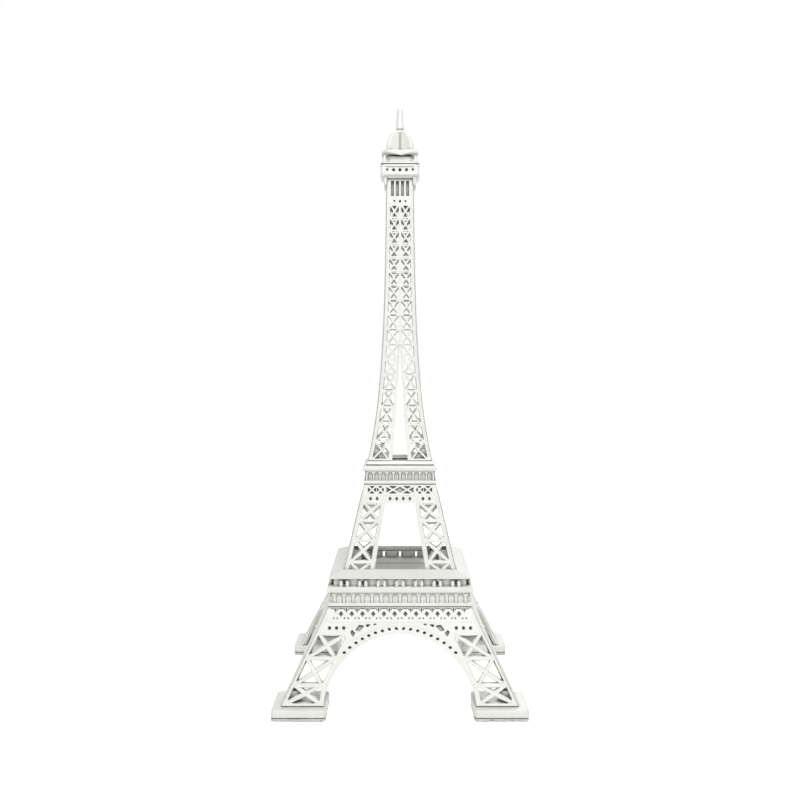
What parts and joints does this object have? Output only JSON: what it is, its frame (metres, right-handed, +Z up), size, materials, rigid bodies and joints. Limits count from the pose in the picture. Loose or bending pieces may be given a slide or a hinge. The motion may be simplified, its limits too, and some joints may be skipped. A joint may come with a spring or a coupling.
{
  "type": "miniature lattice tower",
  "caption": "White painted die-cast souvenir of a tapering lattice tower: arched legs on plinths, two galleries, a slender mast, a finned dome and an antenna.",
  "frame": {"origin": "on the table, under the middle of the four feet", "axes": "+Z up along the tower, +X and +Y square to its faces; the front faces -Y"},
  "size_m": [0.152, 0.152, 0.38],
  "materials": {
    "white_paint": "thick satin white enamel over cast metal",
    "pad_foam": "soft matt off-white pad",
    "zinc_steel": "bright zinc plate"
  },
  "bodies": {
    "root": {"antenna": "white_paint", "antenna_nut": "zinc_steel", "balcony": "white_paint", "cabin": "white_paint", "dome": "white_paint", "foot_block_back_left": "white_paint", "foot_block_back_right": "white_paint", "foot_block_front_left": "white_paint", "foot_block_front_right": "white_paint", "foot_pad_back_left": "pad_foam", "foot_pad_back_right": "pad_foam", "foot_pad_front_left": "pad_foam", "foot_pad_front_right": "pad_foam", "foot_plinth_back_left": "white_paint", "foot_plinth_back_right": "white_paint", "foot_plinth_front_left": "white_paint", "foot_plinth_front_right": "white_paint", "foot_screw_back_left": "zinc_steel", "foot_screw_back_right": "zinc_steel", "foot_screw_front_left": "zinc_steel", "foot_screw_front_right": "zinc_steel", "gallery_block_back_left": "white_paint", "gallery_block_back_right": "white_paint", "gallery_block_front_left": "white_paint", "gallery_block_front_right": "white_paint", "gallery_deck": "white_paint", "gallery_frame": "white_paint", "gallery_roof": "white_paint", "gallery_screw_back_left": "zinc_steel", "gallery_screw_back_right": "zinc_steel", "gallery_screw_front_left": "zinc_steel", "gallery_screw_front_right": "zinc_steel", "lower_face_back": "white_paint", "lower_face_front": "white_paint", "lower_face_left": "white_paint", "lower_face_right": "white_paint", "middle_face_back": "white_paint", "middle_face_front": "white_paint", "middle_face_left": "white_paint", "middle_face_right": "white_paint", "platform_block_back_left": "white_paint", "platform_block_back_right": "white_paint", "platform_block_front_left": "white_paint", "platform_block_front_right": "white_paint", "platform_frame": "white_paint", "platform_screw_back_left": "zinc_steel", "platform_screw_back_right": "zinc_steel", "platform_screw_front_left": "zinc_steel", "platform_screw_front_right": "zinc_steel", "platform_slab": "white_paint", "upper_face_back": "white_paint", "upper_face_front": "white_paint", "upper_face_left": "white_paint", "upper_face_right": "white_paint"}
  },
  "joints": []
}
